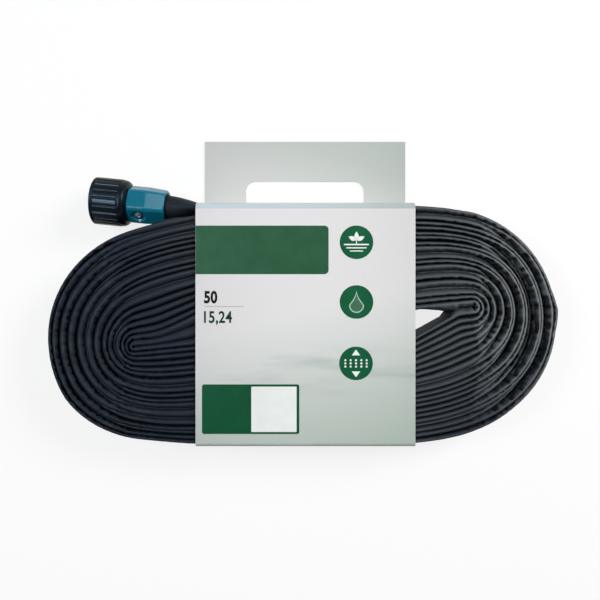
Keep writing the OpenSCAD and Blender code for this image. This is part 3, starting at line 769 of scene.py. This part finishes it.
# ---------------------------------------------------------------- card and its print
def card():
    """Printed card: its tones follow the place on the front and the handle, with painted shade on the fold at
    the top and toward the left and right edges.
    """
    m = Mat("card", Roughness=0.5, Specular_IOR_Level=0.08)
    place = m.coords()
    axes = m.node("SeparateXYZ", {0: place}).outputs
    # Print: pale grey above, pale green below and toward the handle's right
    down = m.math("ADD", m.math("MULTIPLY", axes["Y"], -5.2), 0.42)
    down = m.math("ADD", down, m.math("MULTIPLY", axes["X"], 1.3), clamp=True)
    body = m.ramp(down, (0.12, srgb(223, 224, 224)), (0.36, srgb(224, 226, 225)),
                  (0.52, srgb(213, 219, 216)), (0.66, srgb(199, 208, 202)), (0.95, srgb(174, 190, 180)))
    up = m.math("ADD", m.math("MULTIPLY", axes["Y"], 9.0), m.math("MULTIPLY", axes["X"], 3.2))
    handle = m.ramp(m.math("SUBTRACT", up, 0.62, clamp=True), (0.0, srgb(203, 206, 204)),
                    (0.3, srgb(198, 202, 200)), (0.7, srgb(183, 192, 186)), (1.0, srgb(178, 189, 182)))
    above = m.math("MULTIPLY", m.math("SUBTRACT", axes["Y"], 0.0932), 2000.0, clamp=True)
    colour = m.mix(above, body, handle)
    # Painted shade, bluish, on the rounded fold at the top of the front
    bend = m.math("MULTIPLY", m.math("SUBTRACT", axes["Y"], 0.0874), 1400.0, clamp=True)
    raised = m.math("MULTIPLY", m.math("SUBTRACT", axes["Z"], 0.024), 125.0, clamp=True)
    bend = m.math("MULTIPLY", bend, raised)
    fold = m.ramp(m.math("ADD", m.math("MULTIPLY", axes["X"], 6.0), 0.5, clamp=True),
                  (0.0, srgb(190, 208, 213)), (1.0, srgb(176, 187, 187)))
    colour = m.mix(bend, colour, fold)
    across = m.math("ADD", m.math("MULTIPLY", axes["X"], m.math("MULTIPLY", axes["Y"], -5.0)),
                    m.math("ADD", m.math("MULTIPLY", axes["X"], 0.16), 0.97))
    colour = m.mix(m.math("SUBTRACT", 1.0, above), colour, across, "MULTIPLY")
    # Painted shade: darker toward the left and right edges
    far = m.math("POWER", m.math("ABSOLUTE", axes["X"]), 2.0)
    side_shade = m.math("SUBTRACT", 1.0, m.math("MULTIPLY", far, 14.0))
    colour = m.mix(1.0, colour, side_shade, "MULTIPLY")
    colour = m.mix(1.0, colour, (1.02, 0.985, 0.99, 1), "MULTIPLY")
    # Faint watery streaks across the lower middle
    streak = m.noise(m.coords((6, 42, 1), turn=(0, 0, 0.06)), 1.7, 5, 0.62)
    height = m.math("ADD", m.math("MULTIPLY", axes["Y"], 14.0), 1.02)
    fade = m.ramp(height, (0.25, grey(0)), (0.5, grey(1)), (0.62, grey(1)), (0.85, grey(0)))
    shade = m.math("MULTIPLY", fade, m.ramp(streak, (0.45, grey(0)), (0.7, grey(0.6))))
    front = m.math("GREATER_THAN", axes["Z"], 0.02)
    colour = m.mix(m.math("MULTIPLY", shade, front), colour, srgb(150, 166, 158))
    fibre = m.noise(m.coords((1, 2.2, 1)), 420, 5, 0.65)
    colour = m.mix(m.ramp(fibre, (0.35, grey(0.0)), (0.75, grey(0.06))), colour, srgb(150, 150, 145))
    m.link(colour, "Base Color")
    m.link(m.bump(fibre, 0.08, 0.0001), "Normal")
    m.link(m.ramp(fibre, (0.2, grey(0.52)), (0.8, grey(0.66))), "Roughness")
    return m.mat


def ink(name, colour, light):
    m = Mat(name, Specular_IOR_Level=0.08)
    place = m.coords()
    m.link(m.ramp(m.noise(place, 90, 4), (0.3, colour), (0.8, light)), "Base Color")
    m.link(m.ramp(m.noise(place, 500, 3), (0.2, grey(0.48)), (0.8, grey(0.62))), "Roughness")
    m.link(m.bump(m.noise(place, 1200, 2), 0.08, 0.00005), "Normal")
    return m.mat


CARD_LEFT = -82.5
CARD_FRONT = 38.4
PRINT_BASE = 38.3  # prints start inside the card and stand out by their lift
FIRST_LIFT, SECOND_LIFT, THIRD_LIFT, NUMBER_LIFT = 0.05, 0.09, 0.12, 0.06
DIGIT_HEIGHT = 0.7  # of the font's own digits, per unit of its size
ICON_R = 12.6

# Places on the sleeve's front as pixels of the 600 by 600 view: lower left and upper right, or a point
MM_PER_PX, MIDDLE_PX = 0.75, 300
BANNER_PX = (194, 274.2), (328.6, 225.6)
BLOCK_PX = (202, 434), (299.3, 384.4)
PANEL_PX = (251.3, 432), (296.6, 386.6)
RULE_PX = (204.5, 306.8), (244, 306.2)
ICONS_PX = (356.5, 242.3), (356.5, 302), (356, 363.4)
FEET_PX, METRES_PX = (204, 303.5), (204, 322.6)


def px(x, y):
    """A point on the sleeve's front, from the place where it shows in the view."""
    return ((x - MIDDLE_PX) * MM_PER_PX + VIEW[0], (MIDDLE_PX - y) * MM_PER_PX + VIEW[1])


def round_box(x0, y0, x1, y1, radii, steps=8):
    """A box with its four corner radii, from the lower left round by the right."""
    pts = []
    for (cx, cy, a0), r in zip(((x0, y0, 180), (x1, y0, 270), (x1, y1, 0), (x0, y1, 90)), radii):
        sx, sy = (1 if cx == x0 else -1), (1 if cy == y0 else -1)
        for q in range(steps + 1 if r else 1):
            a = math.radians(a0 + 90 * q / steps)
            pts.append((cx + sx * r + r * math.cos(a), cy + sy * r + r * math.sin(a)))
    return pts


def px_box(corners, radii, left=None):
    """A box between two places in the view; left gives its left edge in mm instead."""
    (x0, y0), (x1, y1) = (px(*c) for c in corners)
    return round_box(x0 if left is None else left, y0, x1, y1, radii)


def disc(x, y, r, n=56):
    return [(x + r * math.cos(2 * math.pi * q / n), y + r * math.sin(2 * math.pi * q / n)) for q in range(n)]


def prints(name, outlines, mat, lift):
    """Printed areas: thin plates on the card's front."""
    verts, faces = [], []
    for pts in outlines:
        area = sum(a[0] * b[1] - b[0] * a[1] for a, b in zip(pts, pts[1:] + pts[:1]))
        pts = pts if area > 0 else pts[::-1]
        n, at = len(pts), len(verts)
        verts += [(x, y, PRINT_BASE) for x, y in pts] + [(x, y, CARD_FRONT + lift) for x, y in pts]
        faces.append([at + n + q for q in range(n)])
        faces.append([at + q for q in range(n)][::-1])
        faces += [[at + q, at + (q + 1) % n, at + n + (q + 1) % n, at + n + q] for q in range(n)]
    add_mesh(name, verts, faces, mat, "sleeve", smooth=False)


def number(name, body, x, y, height, width, bold, mat):
    """A plain number on the card, its lower left corner at x, y; bold widens its strokes."""
    curve = bpy.data.curves.new(name, "FONT")
    curve.body = body
    curve.offset = bold
    curve.space_character = 1.06
    curve.extrude = 0.01  # any depth will do: both sides are placed below
    tmp = bpy.data.objects.new(name + "_text", curve)
    bpy.context.scene.collection.objects.link(tmp)
    bpy.context.view_layer.update()
    mesh = bpy.data.meshes.new_from_object(tmp.evaluated_get(bpy.context.evaluated_depsgraph_get()))
    bpy.data.objects.remove(tmp)
    co = np.array([v.co[:] for v in mesh.vertices])
    lo, hi = co.min(0), co.max(0)
    size = (hi - lo)[:2]
    base = lo[1] if "," not in body else 0.0  # a comma hangs below the line
    co[:, 0] = (x + (co[:, 0] - lo[0]) * width / size[0]) * MM
    co[:, 1] = (y + (co[:, 1] - base) * height / DIGIT_HEIGHT) * MM
    co[:, 2] = np.where(co[:, 2] > 0, CARD_FRONT + NUMBER_LIFT, PRINT_BASE) * MM
    mesh.vertices.foreach_set("co", co.ravel())
    welded = bmesh.new()
    welded.from_mesh(mesh)
    bmesh.ops.remove_doubles(welded, verts=welded.verts, dist=0.001 * MM)
    welded.to_mesh(mesh)
    welded.free()
    mesh.materials.clear()
    mesh.materials.append(mat)
    mesh.update()
    obj = bpy.data.objects.new(name, mesh)
    bpy.context.scene.collection.objects.link(obj)
    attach(obj, "sleeve")


card_mat = card()
finishes["sleeve_band"] = finishes["handle"] = card_mat
for node, mat in finishes.items():
    for s in NODES[node].material_slots:
        s.material = mat

# A strip of the card bridges sleeve and handle at the crease
CREASE_Y, CREASE_Z, CREASE_STEPS = (92.7, 94.5), (0.08, 0.52), 10
left, right = (c[0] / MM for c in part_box("handle"))
low, high = CREASE_Z
verts = [(x, y, z) for y in np.linspace(*CREASE_Y, CREASE_STEPS)
         for x, z in ((left, low), (right, low), (right, high), (left, high))]
ends = [[3, 2, 1, 0], [4 * CREASE_STEPS - 4 + q for q in range(4)]]
faces = [*grid_faces(CREASE_STEPS, 4, around=True).tolist(), *ends]
crease = add_mesh("crease", verts, faces, card_mat, None, smooth=False)
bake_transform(crease)

banner_green = ink("banner_green", srgb(34, 82, 54), srgb(42, 91, 63))
block_green = ink("block_green", srgb(0, 73, 42), srgb(2, 80, 47))
deep_green = ink("deep_green", srgb(6, 82, 50), srgb(14, 92, 58))
white_ink = ink("white_ink", srgb(226, 230, 226), srgb(236, 238, 235))
black_ink = ink("black_ink", srgb(8, 9, 10), srgb(14, 15, 16))
number_green = ink("number_green", srgb(0, 50, 26), srgb(3, 58, 32))

banner = px_box(BANNER_PX, (0, 3.2, 3.2, 0), left=CARD_LEFT + 0.1)
prints("banner", [banner], banner_green, FIRST_LIFT)
prints("block", [px_box(BLOCK_PX, (1.6,) * 4)], block_green, FIRST_LIFT)
prints("block_panel", [px_box(PANEL_PX, (0.5,) * 4)], white_ink, SECOND_LIFT)
icons = [px(*place) for place in ICONS_PX]
prints("icon_discs", [disc(x, y, ICON_R) for x, y in icons], deep_green, FIRST_LIFT)


def leaf(x, y, size, lean):
    """A pointed leaf from its stalk."""
    pts = []
    for side in (1, -1):
        for q in range(9):
            t = q / 8 if side > 0 else 1 - q / 8
            w = side * 0.26 * math.sin(math.pi * t ** 0.85)
            pts.append((x + size * (t * math.cos(lean) - w * math.sin(lean)),
                        y + size * (t * math.sin(lean) + w * math.cos(lean))))
    return pts[:9] + pts[10:-1]


def drop(x, y, r, tall, n=40):
    """A drop: a circle with its top drawn out to a point."""
    pts = []
    for q in range(n):
        a = 2 * math.pi * q / n
        up = max(0.0, math.sin(a))
        pts.append((x + r * math.cos(a) * (1 - up ** 1.5), y + r * math.sin(a) + (tall - r) * up ** 3))
    return pts


# From the top: a plant over the soil, a drop, and drip rows between two arrows
(ax, ay), (bx, by), (cx, cy) = icons
motifs = [leaf(ax + dx, ay + dy, 6.4, math.radians(a))
          for a, dx, dy in ((25, 0.2, 1.6), (90, 0, 1.7), (155, -0.2, 1.6))]
bars = ((0.35, -1.5, 2.5, 0), (9.4, -2.2, -1.1, 0.5), (7.6, -4.6, -3.7, 0.4), (5, -6.9, -6.1, 0.35))
motifs += [round_box(ax - half, ay + low, ax + half, ay + high, (r,) * 4) for half, low, high, r in bars]
motifs += [[(cx - 3.2, cy + 6), (cx + 3.2, cy + 6), (cx, cy + 10.4)],
           [(cx - 3.2, cy - 6), (cx, cy - 10.4), (cx + 3.2, cy - 6)]]
motifs += [disc(cx + dx, cy + dy, 0.8, n=20) for dx in (-8, -4, 0, 4, 8) for dy in (-2.4, 0, 2.4)]
prints("icon_motifs", motifs, white_ink, SECOND_LIFT)
pale_green = ink("pale_green", srgb(150, 180, 160), srgb(176, 200, 184))
prints("icon_drop", [drop(bx, by - 2.6, 5.6, 11.5)], pale_green, SECOND_LIFT)
drop_green = ink("drop_green", srgb(52, 96, 74), srgb(70, 112, 88))
prints("icon_drop_inside", [drop(bx, by - 2.6, 4.7, 9.6)], drop_green, THIRD_LIFT)
number("number_feet", "50", *px(*FEET_PX), 8.5, 10, 0.042, black_ink)
number("number_metres", "15,24", *px(*METRES_PX), 8.5, 21, 0.024, number_green)
grey_ink = ink("grey_ink", srgb(150, 152, 152), srgb(160, 162, 162))
prints("rule", [px_box(RULE_PX, (0,) * 4)], grey_ink, FIRST_LIFT)


# ---------------------------------------------------------------- stage and light
FLOOR_HALF, FLOOR_Z = 9000, -0.3


def lamp(name, place, aim, size, power, colour=(1, 1, 1), glint=False):
    """An area lamp; a glint only shows as a reflection."""
    data = bpy.data.lights.new(name, "AREA")
    data.shape = "RECTANGLE"
    data.size, data.size_y = size[0] * MM, size[1] * MM
    data.energy = power
    data.color = colour
    obj = bpy.data.objects.new(name, data)
    obj.location = Vector(place) * MM
    obj.rotation_euler = (Vector(aim) - Vector(place)).to_track_quat("-Z", "Y").to_euler()
    obj.visible_diffuse = not glint
    bpy.context.scene.collection.objects.link(obj)


def white_stage():
    """A floor that shows white, more so far out, and that still takes shadow near the object."""
    m = Mat("stage_white", Base_Color=(0.9, 0.9, 0.9, 1), Roughness=0.9)
    out = m.nt.nodes["Material Output"]
    glow = m.node("Emission", Strength=1.0)
    path = m.node("LightPath")
    seen = m.math("MAXIMUM", path.outputs["Is Camera Ray"],
                  m.math("MAXIMUM", path.outputs["Is Glossy Ray"], path.outputs["Is Transmission Ray"]))
    away = m.node("VectorMath", {0: m.coords()}, operation="LENGTH").outputs["Value"]
    away = m.math("MULTIPLY", m.math("SUBTRACT", away, 0.5), 0.9, clamp=True)
    share = m.math("MULTIPLY", seen, m.math("ADD", m.math("MULTIPLY", away, 0.2), 0.8))
    mixed = m.node("MixShader", {0: share, 1: m.bsdf.outputs[0], 2: glow.outputs[0]})
    m.nt.links.new(mixed.outputs[0], out.inputs["Surface"])
    corners = [(x * FLOOR_HALF, y * FLOOR_HALF, FLOOR_Z) for x, y in ((-1, -1), (1, -1), (1, 1), (-1, 1))]
    add_mesh("floor", corners, [(0, 1, 2, 3)], m.mat, None, smooth=False)


def white_world(level):
    """Even light from all round, which shows as white near the horizon."""
    world = bpy.data.worlds.new("world")
    bpy.context.scene.world = world
    world.use_nodes = True
    tree = world.node_tree

    def node(kind, a, b=None, op=None):
        n = tree.nodes.new("ShaderNode" + kind)
        if op:
            n.operation = op
        for socket, value in zip(n.inputs, (a, b)):
            if isinstance(value, bpy.types.NodeSocket):
                tree.links.new(value, socket)
            elif value is not None:
                socket.default_value = value
        return n
    path = tree.nodes.new("ShaderNodeLightPath").outputs
    seen = node("Math", path["Is Camera Ray"], path["Is Glossy Ray"], "MAXIMUM").outputs[0]
    seen = node("Math", seen, path["Is Transmission Ray"], "MAXIMUM").outputs[0]
    height = node("SeparateXYZ", tree.nodes.new("ShaderNodeTexCoord").outputs["Generated"]).outputs["Z"]
    low = node("Math", node("Math", 0.62, height, "SUBTRACT").outputs[0], 5.0, "MULTIPLY")
    low.use_clamp = True
    share = node("Math", seen, low.outputs[0], "MULTIPLY").outputs[0]
    share = node("Math", share, 1.0 - level, "MULTIPLY").outputs[0]
    strength = node("Math", share, level, "ADD").outputs[0]
    background = tree.nodes["Background"].inputs
    background[0].default_value = (1, 1, 1, 1)
    tree.links.new(strength, background[1])


white_stage()
lamp("key", (1120, 680, 940), (20, 0, 10), (660, 660), 23)
lamp("top", (60, 160, 900), (0, 0, 10), (500, 500), 0.8)
lamp("fill", (-600, 200, 860), (20, 20, 10), (300, 300), 4.2, (0.92, 0.96, 1.0))
lamp("nut_glint", (-383, 80, 720), (-158, 95, 37), (280, 100), 5.8, (0.85, 0.93, 1.0), glint=True)
lamp("collar_glint", (-140, 500, 880), (-116, 93, 31), (150, 280), 1.1, (0.95, 1.0, 1.0), glint=True)
white_world(0.17)
